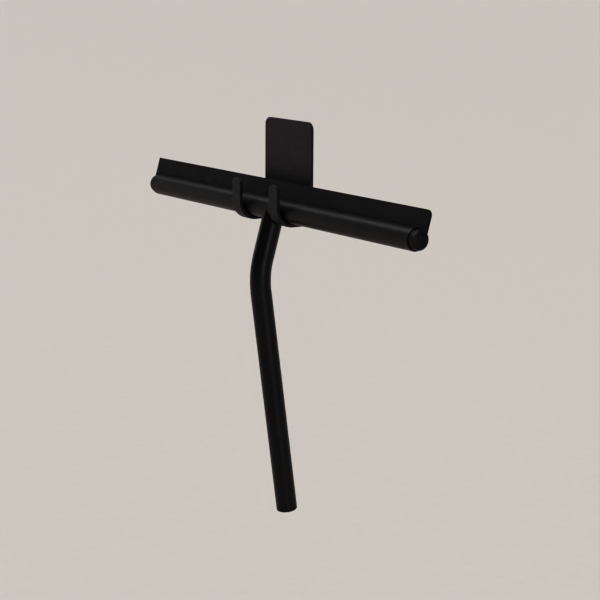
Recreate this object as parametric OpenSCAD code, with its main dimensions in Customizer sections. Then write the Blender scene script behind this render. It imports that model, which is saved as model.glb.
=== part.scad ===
// Bathroom squeegee hanging on a two-prong wall holder.
// The origin lies on the wall plane y = 0, the adhesive pad's back face, behind the middle of the
// wall plate's flat part.
// +X runs to the right along the head, +Y points into the wall and +Z is up.
// The squeegee is drawn upright about its head's axis, then hung on the prongs.

/* [Head] */
// Length of the head tube
head_len = 330; // [240:5:400]
// Outside diameter of the head tube
head_od = 16; // [15.5:0.1:16.4]
// Wall thickness of the head tube and the handle tube
tube_wall = 1; // [0.8:0.1:1.2]
// Length of each end cap's plug inside the tube
plug_len = 12; // [6:1:20]
// How far each end cap stands out of the tube
cap_out = 5.5; // [3:0.5:8]

/* [Blade] */
// Thickness of the silicone blade
blade_t = 2; // [1.4:0.1:2.4]
// Height of the blade's edge above the head's axis
blade_rise = 20.5; // [16:0.5:24]
// How far the blade reaches past each end of the tube
blade_over = 8.5; // [6:0.5:14]
// Radius of the blade's rounded corner
blade_corner_r = 4.5; // [2:0.5:6]

/* [Handle] */
// Outside diameter of the handle tube
handle_od = 15.4; // [14.6:0.1:15.6]
// Distance from the head's axis to the virtual corner of the bend
upper_len = 49.2; // [44:0.2:56]
// Distance from the virtual corner to the handle's end
lower_len = 182.6; // [140:0.2:190]
// Angle of the bend
bend_angle = 24; // [20:0.5:24.5]
// Radius of the bend along the tube's centre
bend_r = 62; // [50:1:80]

/* [Holder] */
// Width of the wall plate
plate_w = 59; // [59:0.5:66]
// Height of the wall plate's flat part
plate_h = 66; // [62:1:80]
// Radius of the wall plate's upper corners
plate_corner_r = 5.5; // [3:0.5:8]
// Thickness of the sheet metal
sheet_t = 2.5; // [2:0.1:3]
// Thickness of the adhesive pad
pad_t = 1; // [0.8:0.1:1.5]
// Width of each prong
prong_w = 10.6; // [9:0.2:11]
// Height of the prongs' tips above the head's axis
tip_rise = 20; // [12:0.5:20]
// Radius of the prong tips' corners
tip_corner_r = 3.5; // [2:0.5:4]

/* [Hanging place] */
// Distance from the wall to the head's axis
stand_off = 19.5; // [19.5:0.5:24]
// Depth from the wall plate's upper edge to the head's axis
axis_drop = 62.9; // [60:0.1:66]
// How far the squeegee hangs to the right of the holder's middle
hang_offset = 7.6; // [-10.4:0.2:10.4]
// Angle by which the blade leans to the wall
lean = 16; // [15:0.5:17]

/* [Hidden] */
$fn = 96;

// Clearances
rest_gap = 0.4;      // between the hanging tube and the prongs
finger_gap = 2.5;    // between the tube's front and the prongs' upright fingers
fit_gap = 0.05;      // between pieces that fit into each other
through = 1;         // how far a cutting shape runs past what it cuts

// Head
head_r = head_od / 2;
bore_r = head_r - tube_wall;
slot_w = blade_t + 0.4;
core_r = bore_r - fit_gap;
core_len = head_len - 2 * plug_len - 1;
cap_edge_r = 1.5;

// Blade
bead_r = 3;
web_low = 3.5;       // lower edge of the blade where it runs through the caps
blade_len = head_len + 2 * blade_over;
sharp_corner_r = 0.4;

// Neck joint inside the head
washer_top = -(bore_r - 2);
washer_r = 4.6;
screw_head_r = 4.2;
screw_head_t = 1.6;
screw_r = 2.45;
screw_len = 18;
socket_depth = 1;
socket_across = 3;
pocket_r = 5.2;

// Handle
handle_r = handle_od / 2;
handle_bore_r = handle_r - tube_wall;
bend_tangent = bend_r * tan(bend_angle / 2);
bend_thin = 0.1;     // what bending takes off the tube's radius
bend_lap = 1;        // how far the straight parts run into the bend
cap_disc_t = 1.6;
cap_spigot_len = 8;
insert_low = -24;

// Holder
axis_z = plate_h / 2 - axis_drop;
cradle_z = axis_z - head_r - rest_gap;
front_y = -(stand_off + head_r + finger_gap + sheet_t);
front_bend_r = head_r + 3.3;
back_bend_r = 3;
plate_y = -pad_t - sheet_t;
pad_inset = 2;
tip_z = axis_z + tip_rise;
notch_r = 3;

// A cylinder of radius r and length l, centred, along X.
module rod_x(r, l) {
    rotate([0, 90, 0])
        cylinder(r = r, h = l, center = true);
}

// What a rounded corner of radius r takes off a square one whose arc is centred on the origin.
module corner_waste(r) {
    difference() {
        square(r + through);
        circle(r = r);
    }
}

// A rectangle standing on the X axis, centred across, with its two upper corners rounded.
module tab(w, h, left_r, right_r) {
    difference() {
        translate([-w / 2, 0])
            square([w, h]);
        translate([left_r - w / 2, h - left_r])
            mirror([1, 0])
                corner_waste(left_r);
        translate([w / 2 - right_r, h - right_r])
            corner_waste(right_r);
    }
}

// A flat outline drawn across and up, stood upright with its front face at y.
module upright(y, t) {
    translate([0, y + t, 0])
        rotate([90, 0, 0])
            linear_extrude(t)
                children();
}

// One quarter turn of bent sheet with inner radius r, starting at angle a.
module quarter_band(r, a) {
    rotate(a)
        intersection() {
            difference() {
                circle(r = r + sheet_t);
                circle(r = r);
            }
            square(r + sheet_t);
        }
}

// A prong's side view: out of the plate, under the tube and up in front of it.
module prong_profile() {
    back_y = plate_y - back_bend_r;
    back_z = cradle_z + back_bend_r;
    bend_y = front_y + sheet_t + front_bend_r;
    bend_z = cradle_z + front_bend_r;
    translate([plate_y, back_z])
        square([sheet_t, -plate_h / 2 - back_z + notch_r]);
    translate([back_y, back_z])
        quarter_band(back_bend_r, 270);
    translate([bend_y, cradle_z - sheet_t])
        square([back_y - bend_y, sheet_t]);
    translate([bend_y, bend_z])
        quarter_band(front_bend_r, 180);
    translate([front_y, bend_z])
        square([sheet_t, tip_z - bend_z]);
}

// The side view made as wide as a prong, with the tip's two corners rounded.
module prong() {
    low_z = cradle_z - sheet_t;
    intersection() {
        rotate([90, 0, 90])
            linear_extrude(plate_w, center = true)
                prong_profile();
        translate([0, 0, low_z - through])
            upright(front_y - through, stand_off + head_od)
                tab(prong_w, tip_z - low_z + through, tip_corner_r, tip_corner_r);
    }
}

// One bent sheet: a flat plate whose lower edge runs out into two prongs.
module wall_plate() {
    color([0.09, 0.09, 0.10]) {
        difference() {
            translate([0, 0, -plate_h / 2])
                upright(plate_y, sheet_t)
                    tab(plate_w, plate_h, plate_corner_r, plate_corner_r);
            translate([0, 0, -plate_h / 2 - through])
                upright(plate_y - through, sheet_t + 2 * through)
                    tab(plate_w - 2 * prong_w, notch_r + through, notch_r, notch_r);
        }
        for (side = [-1, 1])
            translate([side * (plate_w - prong_w) / 2, 0, 0])
                prong();
    }
}

module adhesive_pad() {
    pad_w = plate_w - 2 * pad_inset;
    pad_low = -plate_h / 2 + notch_r + pad_inset;
    color([0.16, 0.16, 0.17])
        translate([0, 0, pad_low])
            upright(-pad_t, pad_t)
                tab(pad_w, plate_h / 2 - pad_inset - pad_low, plate_corner_r - pad_inset, plate_corner_r - pad_inset);
}

// Moves a piece from the squeegee's own upright place to where it hangs.
module hung() {
    translate([hang_offset, -stand_off, axis_z])
        rotate([-lean, 0, 0])
            children();
}

module head_tube() {
    color([0.13, 0.13, 0.14])
        hung()
            difference() {
                rod_x(head_r, head_len);
                rod_x(bore_r, head_len + 2 * through);
                translate([-head_len / 2 - through, -slot_w / 2, 0])
                    cube([head_len + 2 * through, slot_w, head_od]);
                translate([0, 0, -head_od])
                    cylinder(r = screw_r + 0.25, h = head_od);
            }
}

// Plastic filler that grips the blade's bead along the tube.
module blade_core() {
    color([0.2, 0.2, 0.2])
        hung()
            difference() {
                rod_x(core_r, core_len);
                rod_x(bead_r + fit_gap, core_len + 2 * through);
                translate([-core_len / 2 - through, -blade_t / 2 - fit_gap, 0])
                    cube([core_len + 2 * through, blade_t + 2 * fit_gap, head_od]);
                translate([0, 0, -head_od])
                    cylinder(r = pocket_r, h = head_od);
            }
}

module silicone_blade() {
    color([0.06, 0.06, 0.065])
        hung() {
            translate([0, 0, web_low])
                upright(-blade_t / 2, blade_t)
                    tab(blade_len, blade_rise - web_low, sharp_corner_r, blade_corner_r);
            translate([-core_len / 2, -blade_t / 2, 0])
                cube([core_len, blade_t, web_low + through]);
            rod_x(bead_r, core_len);
        }
}

// An end cap on the head's +X end: a plug with a rounded outer edge and a slot for the blade.
module end_cap() {
    cap_len = plug_len + cap_out;
    translate([head_len / 2 - plug_len, 0, 0])
        difference() {
            rotate([0, 90, 0])
                rotate_extrude() {
                    square([core_r, cap_len - cap_edge_r]);
                    square([core_r - cap_edge_r, cap_len]);
                    translate([core_r - cap_edge_r, cap_len - cap_edge_r])
                        intersection() {
                            circle(r = cap_edge_r);
                            square(cap_edge_r);
                        }
                }
            translate([-through, -blade_t / 2 - fit_gap, web_low - fit_gap])
                cube([cap_len + 2 * through, blade_t + 2 * fit_gap, head_od]);
        }
}

module end_cap_left() {
    color([0.10, 0.10, 0.11])
        hung()
            mirror([1, 0, 0])
                end_cap();
}

module end_cap_right() {
    color([0.10, 0.10, 0.11])
        hung()
            end_cap();
}

// Moves a piece from below the bend's start to below its end.
module after_bend() {
    translate([0, bend_r, -(upper_len - bend_tangent)])
        rotate([bend_angle, 0, 0])
            translate([0, -bend_r, 0])
                children();
}

// A bent rod that follows the handle from the head's axis down to low past the bend's end.
// The bend is a hair thinner than the straight parts that lap into it, so all three join cleanly.
module bent_rod(r, low) {
    straight = upper_len - bend_tangent;
    translate([0, 0, -straight - bend_lap])
        cylinder(r = r, h = straight + bend_lap);
    translate([0, bend_r, -straight])
        rotate([-90, 0, -90])
            rotate_extrude(angle = bend_angle)
                translate([bend_r, 0])
                    circle(r = r - bend_thin);
    after_bend()
        translate([0, 0, -low])
            cylinder(r = r, h = low + bend_lap);
}

module handle_tube() {
    low = lower_len - bend_tangent - cap_disc_t;
    color([0.08, 0.08, 0.09])
        hung()
            difference() {
                bent_rod(handle_r, low);
                bent_rod(handle_bore_r, low + through);
                rod_x(head_r + fit_gap, 3 * head_od);
            }
}

// Threaded plug in the top of the handle tube.
module neck_insert() {
    color([0.62, 0.62, 0.64])
        hung()
            difference() {
                translate([0, 0, insert_low])
                    cylinder(r = handle_bore_r - fit_gap, h = -insert_low);
                translate([0, 0, insert_low - through])
                    cylinder(r = screw_r + fit_gap, h = head_od - insert_low);
                rod_x(head_r + fit_gap, 3 * head_od);
            }
}

module neck_screw() {
    color([0.7, 0.7, 0.72])
        hung()
            difference() {
                union() {
                    translate([0, 0, washer_top])
                        cylinder(r = screw_head_r, h = screw_head_t);
                    translate([0, 0, washer_top - screw_len])
                        cylinder(r = screw_r, h = screw_len);
                }
                translate([0, 0, washer_top + screw_head_t - socket_depth])
                    cylinder(d = socket_across / cos(30), h = socket_depth + through, $fn = 6);
            }
}

// Washer with a curved underside, so that the screw's flat head bears on the round tube.
module saddle_washer() {
    color([0.7, 0.7, 0.72])
        hung()
            difference() {
                intersection() {
                    translate([0, 0, -head_od])
                        cylinder(r = washer_r, h = head_od + washer_top);
                    rod_x(core_r, head_od);
                }
                translate([0, 0, -head_od])
                    cylinder(r = screw_r + 0.15, h = 2 * head_od);
            }
}

module handle_end_plug() {
    low = lower_len - bend_tangent;
    color([0.10, 0.10, 0.11])
        hung()
            after_bend()
                translate([0, 0, -low]) {
                    cylinder(r = handle_r, h = cap_disc_t);
                    cylinder(r = handle_bore_r - fit_gap, h = cap_disc_t + cap_spigot_len);
                }
}

wall_plate();
adhesive_pad();
head_tube();
blade_core();
silicone_blade();
end_cap_left();
end_cap_right();
handle_tube();
neck_insert();
neck_screw();
saddle_washer();
handle_end_plug();
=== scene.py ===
"""Looks for a shower squeegee that hangs on a two-prong wall holder.

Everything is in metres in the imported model's frame: the wall is the plane y = 0, +X runs along the
head, +Z is up. Pieces of the squeegee are drawn upright about the head's axis, and HUNG puts them
where the CAD model hangs.
"""

import math

import bmesh
import bpy
from mathutils import Matrix, Vector


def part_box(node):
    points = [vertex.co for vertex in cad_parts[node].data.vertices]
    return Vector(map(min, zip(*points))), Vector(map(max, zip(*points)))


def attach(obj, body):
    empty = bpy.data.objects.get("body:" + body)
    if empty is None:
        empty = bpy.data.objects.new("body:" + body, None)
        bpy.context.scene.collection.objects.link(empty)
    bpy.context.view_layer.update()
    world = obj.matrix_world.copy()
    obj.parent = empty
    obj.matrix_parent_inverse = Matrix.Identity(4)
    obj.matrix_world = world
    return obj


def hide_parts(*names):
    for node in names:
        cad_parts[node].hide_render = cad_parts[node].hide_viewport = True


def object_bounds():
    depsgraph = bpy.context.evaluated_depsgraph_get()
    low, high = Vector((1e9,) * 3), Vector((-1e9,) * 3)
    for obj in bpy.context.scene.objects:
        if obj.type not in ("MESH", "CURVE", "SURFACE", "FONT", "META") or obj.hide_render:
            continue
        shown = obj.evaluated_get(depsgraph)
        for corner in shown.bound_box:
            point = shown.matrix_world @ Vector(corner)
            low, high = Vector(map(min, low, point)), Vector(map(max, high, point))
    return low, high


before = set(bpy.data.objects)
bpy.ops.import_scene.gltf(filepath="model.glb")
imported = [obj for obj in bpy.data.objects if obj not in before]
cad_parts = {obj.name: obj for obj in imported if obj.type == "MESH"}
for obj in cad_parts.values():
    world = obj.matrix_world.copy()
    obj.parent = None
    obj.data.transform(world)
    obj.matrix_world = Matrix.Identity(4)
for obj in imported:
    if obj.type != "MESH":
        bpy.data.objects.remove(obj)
CAD_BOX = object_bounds()
MIDDLE = (CAD_BOX[0] + CAD_BOX[1]) / 2

MM = 0.001

# Sizes that the frame gives
TUBE_LOW, TUBE_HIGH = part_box("head_tube")
PLATE_LOW, PLATE_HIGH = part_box("wall_plate")
PAD_LOW, PAD_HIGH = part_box("adhesive_pad")
BLADE_LOW, BLADE_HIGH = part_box("silicone_blade")
CORE_LOW, CORE_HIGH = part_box("blade_core")
CAP_LOW, CAP_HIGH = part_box("end_cap_right")
HANDLE_LOW, HANDLE_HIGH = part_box("handle_tube")

HEAD_AXIS = (TUBE_LOW + TUBE_HIGH) / 2
HEAD_LEN = TUBE_HIGH.x - TUBE_LOW.x
HEAD_R = (TUBE_HIGH.z - TUBE_LOW.z) / 2
BLADE_LEN = BLADE_HIGH.x - BLADE_LOW.x
CORE_LEN = CORE_HIGH.x - CORE_LOW.x
CORE_R = (CORE_HIGH.z - CORE_LOW.z) / 2
CAP_OUT = CAP_HIGH.x - TUBE_HIGH.x
CAP_IN = TUBE_HIGH.x - CAP_LOW.x
HANDLE_R = (HANDLE_HIGH.x - HANDLE_LOW.x) / 2

# Sizes of the CAD model that a box doesn't give
LEAN = math.radians(16)
TUBE_WALL = 1 * MM
SLOT_HALF = 1.2 * MM
BLADE_T = 2 * MM
BLADE_RISE = 20.5 * MM
WEB_LOW = 3.5 * MM
BEAD_R = 3 * MM
BLADE_CORNER_R = 4.5 * MM
UPPER_LEN = 49.2 * MM
LOWER_LEN = 182.6 * MM
BEND = math.radians(24)
BEND_R = 62 * MM
BEND_THIN = 0.1 * MM
FIT_GAP = 0.05 * MM
PLUG_DISC = 1.6 * MM
SHEET = 2.5 * MM
PRONG_W = 10.6 * MM
PLATE_BODY = 66 * MM
NOTCH_R = 3 * MM
PLATE_CORNER_R = 5.5 * MM
PAD_CORNER_R = 3.5 * MM
TIP_R = 3.5 * MM
BACK_BEND_R = 3 * MM
FRONT_BEND_R = 11.3 * MM
TIP_Z = HEAD_AXIS.z + 20 * MM

# Softened edges, which the CAD model has sharp or, on the caps, tighter
SHEET_EDGE_R = 0.35 * MM
PAD_EDGE_R = 0.2 * MM
BLADE_EDGE_R = 0.12 * MM
TUBE_EDGE_R = 0.4 * MM
SLOT_LIP = 0.25 * MM
CAP_EDGE_R = 2.5 * MM
CAP_LEAD_IN = 0.5 * MM
HANDLE_EDGE_R = 0.15 * MM
PLUG_EDGE_R = 1.0 * MM
PLUG_LEAD_IN = 0.2 * MM

# How far the handle runs into the head tube's surface, and the bead's neck up into the blade
NECK_OVERLAP = 0.1 * MM
BEAD_OVERLAP = 0.5 * MM

# How many facets go round a tube, a cap and the handle, along the handle's bend and the sheet's bends
TUBE_STEPS = 96
CAP_STEPS = 64
HANDLE_STEPS = 72
BEND_STEPS = 24
BACK_BEND_STEPS = 10
FRONT_BEND_STEPS = 16

# Turns between two faces: past the first, shading stays sharp; past the second, the sheet is rounded
SHARP_TURN = math.radians(50)
RIM_TURN = math.radians(60)

# How many clouds of colour and patches of sheen a finish has to the metre
CLOUDS_PER_METRE = 45
PATCHES_PER_METRE = 260

# The span that a noise value usually stays in
NOISE_LOW = 0.3
NOISE_HIGH = 0.7

# How wide the soft lamp's cone is
SPOT_CONE = math.radians(36)

# The floor: how far below the object it lies, and half its width
FLOOR_DROP = 0.5
FLOOR_HALF = 60.0

# The photograph's view: the camera's place, its turn, downward tilt and roll, and its lens in millimetres
CAMERA_PLACE = (1.04741, -0.71197, 0.14922)
CAMERA_TURN = math.radians(55.486)
CAMERA_TILT = math.radians(11.145)
CAMERA_ROLL = math.radians(0.351)
CAMERA_LENS = 104.77

# Points closer than this count as one
SAME_PLACE = 1e-7

HUNG = Matrix.Translation(HEAD_AXIS) @ Matrix.Rotation(-LEAN, 4, "X")


# ---------------------------------------------------------------- mesh helpers

def arc(centre, radius, start, end, steps):
    """Points of an arc in a plane, angles in degrees, both ends included."""
    turns = [math.radians(start + (end - start) * i / steps) for i in range(steps + 1)]
    return [(centre[0] + radius * math.cos(t), centre[1] + radius * math.sin(t)) for t in turns]


def add_object(name, shape, material, body, cad_nodes):
    """Makes an object from a bmesh, gives it its material, and ties it to the frame."""
    mesh = bpy.data.meshes.new(name)
    bmesh.ops.recalc_face_normals(shape, faces=shape.faces)
    shape.to_mesh(mesh)
    shape.free()
    mesh.materials.append(material)
    mesh.shade_smooth()
    mesh.set_sharp_from_angle(angle=SHARP_TURN)
    piece = bpy.data.objects.new(name, mesh)
    bpy.context.scene.collection.objects.link(piece)
    weighted = piece.modifiers.new("weighted", "WEIGHTED_NORMAL")
    weighted.keep_sharp = True
    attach(piece, body)
    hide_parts(*cad_nodes)


def loft(rings):
    """A closed skin through rings of 3-D points, each with the same number of points."""
    made = bmesh.new()
    rows = [[made.verts.new(p) for p in ring] for ring in rings]
    count = len(rows[0])
    for a, b in zip(rows, rows[1:]):
        for i in range(count):
            j = (i + 1) % count
            made.faces.new((a[i], a[j], b[j], b[i]))
    made.faces.new(rows[0])
    made.faces.new(list(reversed(rows[-1])))
    return made


def rounded_end(radius, steps):
    """Steps inwards over a rounded edge: (how far before the end, how far the outline has shrunk)."""
    turns = [math.pi / 2 * i / steps for i in range(steps + 1)]
    return [(radius * (1 - math.sin(t)), radius * (1 - math.cos(t))) for t in turns]


def round_edges(made, edges, radius):
    """Rounds the edges with three facets."""
    bmesh.ops.bevel(made, geom=edges, offset=radius, segments=3, profile=0.5, affect="EDGES")


def add_slab(made, outline, low, high, edge_r):
    """Makes an empty mesh a slab from y = low to high; its outline, in x and z, gets soft edges."""
    bottom = [made.verts.new((x, low, z)) for x, z in outline]
    face = made.faces.new(bottom)
    grown = bmesh.ops.extrude_face_region(made, geom=[face])
    top = [v for v in grown["geom"] if isinstance(v, bmesh.types.BMVert)]
    bmesh.ops.translate(made, verts=top, vec=(0, high - low, 0))
    rim = [edge for edge in made.edges if abs(edge.verts[0].co.y - edge.verts[1].co.y) < SAME_PLACE]
    round_edges(made, rim, edge_r)


# ---------------------------------------------------------------- materials

def new_material(name):
    """A material with the parts that every finish here starts from."""
    made = bpy.data.materials.new(name)
    made.use_nodes = True
    nodes = made.node_tree.nodes
    return made, nodes, made.node_tree.links, nodes["Principled BSDF"]


def noise(nodes, links, coordinates, scale, detail, roughness):
    """A cloudy value with scale features to the metre."""
    made = nodes.new("ShaderNodeTexNoise")
    made.inputs["Scale"].default_value = scale
    made.inputs["Detail"].default_value = detail
    made.inputs["Roughness"].default_value = roughness
    links.new(coordinates, made.inputs["Vector"])
    return made.outputs["Fac"]


def spread(nodes, links, value, low, high):
    """Maps a noise value from its usual span to low..high."""
    made = nodes.new("ShaderNodeMapRange")
    made.inputs["From Min"].default_value = NOISE_LOW
    made.inputs["From Max"].default_value = NOISE_HIGH
    made.inputs["To Min"].default_value = low
    made.inputs["To Max"].default_value = high
    links.new(value, made.inputs["Value"])
    return made.outputs["Result"]


def tinted(nodes, links, value, dark, light):
    """A colour between dark and light by a value from 0 to 1."""
    made = nodes.new("ShaderNodeMix")
    made.data_type = "RGBA"
    made.inputs["A"].default_value = (*dark, 1)
    made.inputs["B"].default_value = (*light, 1)
    links.new(value, made.inputs["Factor"])
    return made.outputs["Result"]


def bump(nodes, links, height, depth, before=None):
    """A normal that follows the height, on top of the one before."""
    made = nodes.new("ShaderNodeBump")
    made.inputs["Strength"].default_value = 1.0
    made.inputs["Distance"].default_value = depth
    links.new(height, made.inputs["Height"])
    if before is not None:
        links.new(before, made.inputs["Normal"])
    return made.outputs["Normal"]


def coated(name, dark, light, rough, grain, depth, metallic=0.0, specular=0.5):
    """A finish with a cloudy colour, an uneven sheen and a fine grain of that size and depth."""
    made, nodes, links, shader = new_material(name)
    place = nodes.new("ShaderNodeTexCoord").outputs["Object"]
    clouds = noise(nodes, links, place, CLOUDS_PER_METRE, detail=4, roughness=0.6)
    patches = noise(nodes, links, place, PATCHES_PER_METRE, detail=3, roughness=0.55)
    fine = noise(nodes, links, place, 1 / grain, detail=2, roughness=0.6)
    peel = noise(nodes, links, place, 1 / (4 * grain), detail=1, roughness=0.5)
    colour = tinted(nodes, links, spread(nodes, links, clouds, 0, 1), dark, light)
    links.new(colour, shader.inputs["Base Color"])
    links.new(spread(nodes, links, patches, rough[0], rough[1]), shader.inputs["Roughness"])
    normal = bump(nodes, links, peel, depth * 2)
    normal = bump(nodes, links, fine, depth, normal)
    links.new(normal, shader.inputs["Normal"])
    shader.inputs["Metallic"].default_value = metallic
    shader.inputs["Specular IOR Level"].default_value = specular
    return made


def make_plate_coat():
    """Dull powder coat, paler than the head's and the handle's and a little purple."""
    dark = (0.0330, 0.0302, 0.0345)
    light = (0.0395, 0.0365, 0.0415)
    return coated("plate_coat", dark, light, (0.50, 0.62), 0.35 * MM, 0.006 * MM)


def make_head_coat():
    """Satin powder coat, which draws a bright line along the tube."""
    dark = (0.0140, 0.0130, 0.0135)
    light = (0.0190, 0.0178, 0.0184)
    return coated("head_coat", dark, light, (0.38, 0.46), 0.35 * MM, 0.005 * MM)


def make_handle_coat():
    """Satin powder coat, the darkest of the three coats."""
    dark = (0.005, 0.005, 0.0058)
    light = (0.008, 0.008, 0.0090)
    return coated("handle_coat", dark, light, (0.34, 0.42), 0.35 * MM, 0.004 * MM)


def make_silicone():
    """Soft black rubber with hardly any sheen."""
    dark = (0.0150, 0.0143, 0.0153)
    light = (0.0190, 0.0182, 0.0195)
    return coated("silicone", dark, light, (0.55, 0.66), 0.8 * MM, 0.002 * MM, specular=0.35)


def make_cap_plastic():
    """Dull moulded plastic with a fine grain."""
    dark = (0.0190, 0.0175, 0.0200)
    light = (0.0240, 0.0222, 0.0255)
    return coated("cap_plastic", dark, light, (0.50, 0.60), 0.25 * MM, 0.006 * MM, specular=0.4)


def make_core_plastic():
    """Plain dark plastic for the filler that doesn't show."""
    dark = (0.05, 0.05, 0.05)
    light = (0.07, 0.07, 0.07)
    return coated("core_plastic", dark, light, (0.5, 0.6), 0.4 * MM, 0.004 * MM)


def make_foam():
    """Dull coarse foam."""
    dark = (0.035, 0.035, 0.036)
    light = (0.055, 0.055, 0.056)
    return coated("foam", dark, light, (0.85, 0.95), 0.5 * MM, 0.05 * MM, specular=0.2)


def make_steel():
    """Bare steel, for the screw, its washer and its insert."""
    dark = (0.50, 0.50, 0.52)
    light = (0.58, 0.58, 0.60)
    return coated("steel", dark, light, (0.22, 0.32), 0.3 * MM, 0.002 * MM, metallic=1.0)


def make_floor_paint():
    """Pale warm grey, quite dull."""
    dark = (0.645, 0.618, 0.594)
    light = (0.658, 0.631, 0.607)
    return coated("floor_paint", dark, light, (0.85, 0.95), 1.0 * MM, 0.01 * MM, specular=0.2)


PLATE_COAT = make_plate_coat()
HEAD_COAT = make_head_coat()
HANDLE_COAT = make_handle_coat()
SILICONE = make_silicone()
CAP_PLASTIC = make_cap_plastic()
CORE_PLASTIC = make_core_plastic()
FOAM = make_foam()
STEEL = make_steel()


# ---------------------------------------------------------------- the holder

PLATE_FRONT = PAD_LOW.y - SHEET
CRADLE_Z = PLATE_LOW.z + SHEET
BACK_Z = CRADLE_Z + BACK_BEND_R
BACK_Y = PLATE_FRONT - BACK_BEND_R
FRONT_Y = PLATE_LOW.y + SHEET + FRONT_BEND_R
FRONT_Z = CRADLE_Z + FRONT_BEND_R


def sheet_stretches():
    """The sheet's inner face as it runs down the plate, under the tube and up: (kind, length)."""
    return [
        ("flat", PLATE_HIGH.z - BACK_Z),
        ("back_bend", BACK_BEND_R * math.pi / 2),
        ("under", BACK_Y - FRONT_Y),
        ("front_bend", FRONT_BEND_R * math.pi / 2),
        ("finger", TIP_Z - FRONT_Z),
    ]


def sheet_place(s):
    """The point and the outward direction, in y and z, a length s down the sheet's inner face."""
    for kind, length in sheet_stretches():
        if s <= length or kind == "finger":
            break
        s -= length
    if kind == "flat":
        return Vector((0, PLATE_FRONT, PLATE_HIGH.z - s)), Vector((0, 1, 0))
    if kind == "back_bend":
        out = Vector((0, math.cos(s / BACK_BEND_R), -math.sin(s / BACK_BEND_R)))
        return Vector((0, BACK_Y, BACK_Z)) + out * BACK_BEND_R, out
    if kind == "under":
        return Vector((0, BACK_Y - s, CRADLE_Z)), Vector((0, 0, -1))
    if kind == "front_bend":
        out = Vector((0, -math.sin(s / FRONT_BEND_R), -math.cos(s / FRONT_BEND_R)))
        return Vector((0, FRONT_Y, FRONT_Z)) + out * FRONT_BEND_R, out
    return Vector((0, FRONT_Y - FRONT_BEND_R, FRONT_Z + s)), Vector((0, -1, 0))


def blank_outline(half_w, inner, total):
    """The flat sheet before it is bent, x across and length down it as negative y.

    inner is half the gap between the prongs, and total is how far down the prongs' tips lie.
    """
    points = arc((half_w - PLATE_CORNER_R, -PLATE_CORNER_R), PLATE_CORNER_R, 0, 90, steps=8)
    points += arc((PLATE_CORNER_R - half_w, -PLATE_CORNER_R), PLATE_CORNER_R, 90, 180, steps=8)
    points += arc((TIP_R - half_w, TIP_R - total), TIP_R, 180, 270, steps=6)
    points += arc((-inner - TIP_R, TIP_R - total), TIP_R, 270, 360, steps=6)
    points += arc((NOTCH_R - inner, -PLATE_BODY), NOTCH_R, 180, 90, steps=6)
    points += arc((inner - NOTCH_R, -PLATE_BODY), NOTCH_R, 90, 0, steps=6)
    points += arc((inner + TIP_R, TIP_R - total), TIP_R, 180, 270, steps=6)
    points += arc((half_w - TIP_R, TIP_R - total), TIP_R, 270, 360, steps=6)
    return points


def bend_rows():
    """The lengths down the sheet where a bend's facets start and end."""
    rows, start = [], 0.0
    for kind, length in sheet_stretches():
        if kind.endswith("bend"):
            steps = FRONT_BEND_STEPS if kind == "front_bend" else BACK_BEND_STEPS
            rows += [start + length * i / steps for i in range(steps + 1)]
        start += length
    return rows


def soften_rims(made, edge_r):
    """Rounds every edge where two faces meet sharply."""
    made.normal_update()
    rims = [e for e in made.edges if e.is_manifold and e.calc_face_angle() > RIM_TURN]
    round_edges(made, rims, edge_r)


def make_wall_plate():
    """Cuts the blank, bends it over the rows and gives it its thickness."""
    half_w = (PLATE_HIGH.x - PLATE_LOW.x) / 2
    total = sum(length for _, length in sheet_stretches())
    blank = bmesh.new()
    outline = blank_outline(half_w, half_w - PRONG_W, total)
    blank.faces.new([blank.verts.new((x, y, 0)) for x, y in outline])
    for s in bend_rows():
        everything = blank.verts[:] + blank.edges[:] + blank.faces[:]
        bmesh.ops.bisect_plane(
            blank, geom=everything, dist=SAME_PLACE, plane_co=(0, -s, 0), plane_no=(0, 1, 0)
        )
    made = bmesh.new()
    inner, outer = {}, {}
    for v in blank.verts:
        place, out = sheet_place(-v.co.y)
        across = Vector((v.co.x, 0, 0))
        inner[v] = made.verts.new(across + place)
        outer[v] = made.verts.new(across + place + out * SHEET)
    for face in blank.faces:
        made.faces.new([inner[v] for v in face.verts])
        made.faces.new([outer[v] for v in reversed(face.verts)])
    for edge in blank.edges:
        if edge.is_boundary:
            a, b = edge.verts
            made.faces.new((inner[a], inner[b], outer[b], outer[a]))
    blank.free()
    bmesh.ops.recalc_face_normals(made, faces=made.faces)
    soften_rims(made, SHEET_EDGE_R)
    add_object("holder_sheet", made, PLATE_COAT, "holder", ["wall_plate"])


def make_pad():
    """The adhesive pad: a slab with its two upper corners rounded."""
    half_w = (PAD_HIGH.x - PAD_LOW.x) / 2
    r = PAD_CORNER_R
    corners = [(half_w - r, PAD_HIGH.z - r, 0), (r - half_w, PAD_HIGH.z - r, 90)]
    outline = [p for x, z, turn in corners for p in arc((x, z), r, turn, turn + 90, steps=8)]
    outline += [(-half_w, PAD_LOW.z), (half_w, PAD_LOW.z)]
    made = bmesh.new()
    add_slab(made, outline, PAD_LOW.y, PAD_HIGH.y, PAD_EDGE_R)
    add_object("foam_pad", made, FOAM, "holder", ["adhesive_pad"])


# ---------------------------------------------------------------- the head

def hang(made):
    """Moves a mesh from the squeegee's own upright place to where it hangs."""
    made.transform(HUNG)
    return made


def slotted_arc(radius, slot_half, steps):
    """Nearly a whole circle, clockwise round a slot at its top."""
    start = 90 - math.degrees(math.asin(slot_half / radius))
    return arc((0, 0), radius, start, -180 - start, steps)


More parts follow.
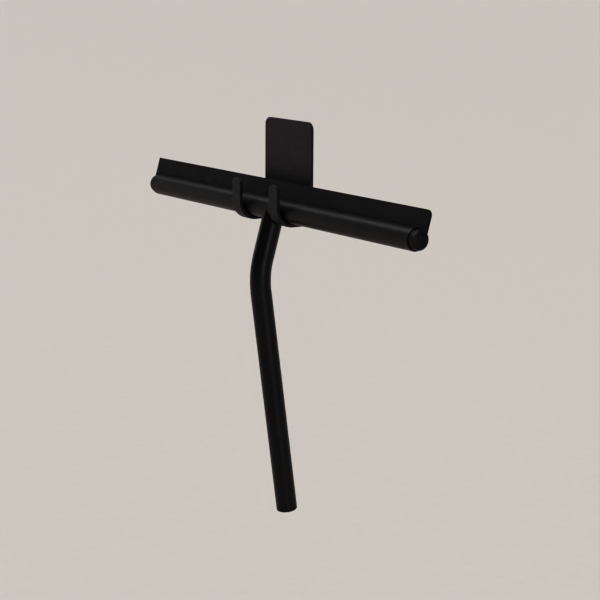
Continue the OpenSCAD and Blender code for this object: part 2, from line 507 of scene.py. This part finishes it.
def slotted_ring(x, outer, inner):
    """The head tube's C-shaped section at x, its slot at the top, with softened lips."""
    outside = slotted_arc(outer, SLOT_HALF + SLOT_LIP, TUBE_STEPS)
    inside = slotted_arc(inner, SLOT_HALF + SLOT_LIP, TUBE_STEPS)
    middle = (outer + inner) / 2
    outline = outside + [(-SLOT_HALF, middle)] + inside[::-1] + [(SLOT_HALF, middle)]
    return [Vector((x, y, z)) for y, z in outline]


def make_head_tube():
    """A slotted tube whose rims are softly rounded at both ends."""
    inner = HEAD_R - TUBE_WALL
    right = [(HEAD_LEN / 2 - back, HEAD_R - shrunk) for back, shrunk in rounded_end(TUBE_EDGE_R, steps=5)]
    left = [(-x, outer) for x, outer in reversed(right)]
    rings = [slotted_ring(x, outer, inner) for x, outer in left + right]
    add_object("head_shell", hang(loft(rings)), HEAD_COAT, "squeegee", ["head_tube"])


def slotted_disc(x, radius, slot_half, floor):
    """An end cap's section at x: a disc with a slot cut down from its top."""
    outline = slotted_arc(radius, slot_half, CAP_STEPS)
    outline += [(-slot_half, floor), (slot_half, floor)]
    return [Vector((x, y, z)) for y, z in outline]


def make_cap(side, name, node):
    """An end cap on one side, -1 or 1: a plug with a rounded outer edge and a slot for the blade."""
    end_x = HEAD_LEN / 2 + CAP_OUT
    start_x = HEAD_LEN / 2 - CAP_IN
    stations = [(start_x, CORE_R - CAP_LEAD_IN), (start_x + CAP_LEAD_IN, CORE_R)]
    stations += [(end_x - back, CORE_R - shrunk) for back, shrunk in rounded_end(CAP_EDGE_R, steps=8)]
    slot_half = BLADE_T / 2 + FIT_GAP
    rings = [slotted_disc(side * x, r, slot_half, WEB_LOW - FIT_GAP) for x, r in stations]
    add_object(name, hang(loft(rings)), CAP_PLASTIC, "squeegee", [node])


def add_bead(made):
    """Adds the bead along the blade's foot, which the filler in the tube grips."""
    neck = BLADE_T / 2
    neck_z = WEB_LOW + BEAD_OVERLAP
    neck_turn = math.degrees(math.asin(neck / BEAD_R))
    section = arc((0, 0), BEAD_R, 90 + neck_turn, 450 - neck_turn, steps=40)
    section += [(neck, neck_z), (-neck, neck_z)]
    rows = [[made.verts.new((side * CORE_LEN / 2, y, z)) for y, z in section] for side in (-1, 1)]
    for i in range(len(section)):
        j = (i + 1) % len(section)
        made.faces.new((rows[0][i], rows[0][j], rows[1][j], rows[1][i]))
    made.faces.new(rows[0])
    made.faces.new(list(reversed(rows[1])))


def make_blade():
    """The blade with its one rounded corner, and its bead."""
    half = BLADE_LEN / 2
    r = BLADE_CORNER_R
    outline = [(-half, WEB_LOW), (half, WEB_LOW)]
    outline += arc((half - r, BLADE_RISE - r), r, 0, 90, steps=10)
    outline += [(-half, BLADE_RISE)]
    made = bmesh.new()
    add_slab(made, outline, -BLADE_T / 2, BLADE_T / 2, BLADE_EDGE_R)
    add_bead(made)
    add_object("wiper_blade", hang(made), SILICONE, "squeegee", ["silicone_blade"])


# ---------------------------------------------------------------- the handle

BEND_TANGENT = BEND_R * math.tan(BEND / 2)
BEND_START = UPPER_LEN - BEND_TANGENT
BEND_END = BEND_START + BEND_R * BEND
HANDLE_END = BEND_END + LOWER_LEN - BEND_TANGENT
TUBE_END = HANDLE_END - PLUG_DISC

HANDLE_TURNS = [2 * math.pi * i / HANDLE_STEPS for i in range(HANDLE_STEPS)]


def handle_frame(s):
    """The centre and the downward direction a length s down the handle from the head's axis."""
    if s <= BEND_START:
        return Vector((0, 0, -s)), Vector((0, 0, -1))
    turn = min((s - BEND_START) / BEND_R, BEND)
    out = Vector((0, -math.cos(turn), -math.sin(turn)))
    down = Vector((0, math.sin(turn), -math.cos(turn)))
    past = max(0.0, s - BEND_END)
    return Vector((0, BEND_R, -BEND_START)) + out * BEND_R + down * past, down


def handle_ring(s, radius):
    """A circle round the handle a length s down it."""
    centre, down = handle_frame(s)
    side = Vector((1, 0, 0))
    front = down.cross(side)
    return [centre + (side * math.cos(t) + front * math.sin(t)) * radius for t in HANDLE_TURNS]


def coped_ring(head_r, radius):
    """Where the handle's surface, at that radius, meets a cylinder of head_r round the head's axis."""
    circle = [(radius * math.cos(t), -radius * math.sin(t)) for t in HANDLE_TURNS]
    return [Vector((x, y, -math.sqrt(head_r ** 2 - y ** 2))) for x, y in circle]


def handle_end_rings(end, radius, edge_r, steps):
    """Rings of the handle up to a softly rounded end."""
    return [handle_ring(end - back, radius - shrunk) for back, shrunk in rounded_end(edge_r, steps)]


def make_handle():
    """The tube, coped to the head and bent once."""
    rings = [coped_ring(HEAD_R - NECK_OVERLAP, HANDLE_R), handle_ring(BEND_START, HANDLE_R)]
    for i in range(1, BEND_STEPS):
        s = BEND_START + BEND_R * BEND * i / BEND_STEPS
        rings.append(handle_ring(s, HANDLE_R - BEND_THIN))
    rings.append(handle_ring(BEND_END, HANDLE_R))
    rings += handle_end_rings(TUBE_END, HANDLE_R, HANDLE_EDGE_R, steps=3)
    add_object("handle_shell", hang(loft(rings)), HANDLE_COAT, "squeegee", ["handle_tube"])


def make_handle_plug():
    """The plug's disc, which closes the tube's lower end, a hair narrower than the tube."""
    radius = HANDLE_R - FIT_GAP
    rings = [handle_ring(TUBE_END + FIT_GAP, radius - PLUG_LEAD_IN)]
    rings.append(handle_ring(TUBE_END + PLUG_LEAD_IN, radius))
    rings += handle_end_rings(HANDLE_END, radius, PLUG_EDGE_R, steps=6)
    add_object("handle_end", hang(loft(rings)), CAP_PLASTIC, "squeegee", ["handle_end_plug"])


# ---------------------------------------------------------------- the rest of the scene

def finish_hidden_parts():
    """The pieces inside the head and the handle keep their CAD shape and get their own finish."""
    looks = {"blade_core": CORE_PLASTIC, "neck_insert": STEEL, "neck_screw": STEEL, "saddle_washer": STEEL}
    for node, material in looks.items():
        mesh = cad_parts[node].data
        mesh.materials.clear()
        mesh.materials.append(material)


def make_floor():
    """A wide plain floor, low enough that no shadow on it shows behind the object."""
    z = CAD_BOX[0].z - FLOOR_DROP
    half = FLOOR_HALF
    corners = [(-half, -half), (half, -half), (half, half), (-half, half)]
    made = bmesh.new()
    made.faces.new([made.verts.new((x, y, z)) for x, y in corners])
    mesh = bpy.data.meshes.new("floor")
    made.to_mesh(mesh)
    made.free()
    mesh.materials.append(make_floor_paint())
    floor = bpy.data.objects.new("floor", mesh)
    bpy.context.scene.collection.objects.link(floor)


def aim(lamp, place, target):
    """Stands a lamp at a place, shining at the target."""
    light = bpy.data.objects.new(lamp.name, lamp)
    light.location = place
    light.rotation_euler = (target - place).to_track_quat("-Z", "Y").to_euler()
    bpy.context.scene.collection.objects.link(light)


def add_sun(name, towards, width, strength, colour):
    """Even light from a far wide source; towards is the direction from the object to it."""
    lamp = bpy.data.lights.new(name, "SUN")
    lamp.angle = math.radians(width)
    lamp.energy = strength
    lamp.color = colour
    aim(lamp, MIDDLE + Vector(towards), MIDDLE)


def add_spot(name, offset, width, power, colour):
    """A soft lamp near the object, at an offset from its middle, wide enough to light all of it."""
    lamp = bpy.data.lights.new(name, "SPOT")
    lamp.shadow_soft_size = width / 2
    lamp.spot_size = SPOT_CONE
    lamp.spot_blend = 0.5
    lamp.energy = power
    lamp.color = colour
    aim(lamp, MIDDLE + Vector(offset), MIDDLE)


def make_lights():
    """A high key light, soft lights from the left and the right, and a faint even sky."""
    add_sun("key", towards=(0.12, -1.0, 2.2), width=10, strength=1.55, colour=(1.0, 0.98, 0.955))
    add_sun("left_high", towards=(-0.66, -0.16, 0.75), width=27, strength=0.29, colour=(1.0, 0.99, 0.98))
    add_sun("left_low", towards=(-0.96, -0.24, 0.02), width=36, strength=0.19, colour=(1.0, 0.99, 0.99))
    add_sun("right_low", towards=(0.98, -0.16, 0.16), width=22, strength=0.30, colour=(0.84, 0.92, 1.0))
    add_spot("low_right", offset=(1.5, -0.15, -0.40), width=1.4, power=8, colour=(0.90, 0.95, 1.0))
    world = bpy.data.worlds.new("studio")
    world.use_nodes = True
    sky = world.node_tree.nodes["Background"]
    sky.inputs["Color"].default_value = (0.97, 0.98, 1.0, 1)
    sky.inputs["Strength"].default_value = 0.10
    bpy.context.scene.world = world


def make_camera():
    """The photograph's view: its place, its turn and downward tilt, and a slight roll."""
    lens = bpy.data.cameras.new("view")
    lens.sensor_width = 36
    lens.lens = CAMERA_LENS
    camera = bpy.data.objects.new("view", lens)
    turn = Matrix.Rotation(CAMERA_TURN, 4, "Z")
    tilt = Matrix.Rotation(math.pi / 2 - CAMERA_TILT, 4, "X")
    roll = Matrix.Rotation(CAMERA_ROLL, 4, "Z")
    camera.matrix_world = Matrix.Translation(CAMERA_PLACE) @ turn @ tilt @ roll
    bpy.context.scene.collection.objects.link(camera)
    bpy.context.scene.camera = camera


def set_contrast():
    """A camera's contrast curve, which deepens the blacks."""
    view = bpy.context.scene.view_settings
    view.view_transform = "Standard"
    view.look = "Very High Contrast"


make_wall_plate()
make_pad()
make_head_tube()
make_cap(-1, "cap_left", "end_cap_left")
make_cap(1, "cap_right", "end_cap_right")
make_blade()
make_handle()
make_handle_plug()
finish_hidden_parts()
make_floor()
make_lights()
make_camera()
set_contrast()
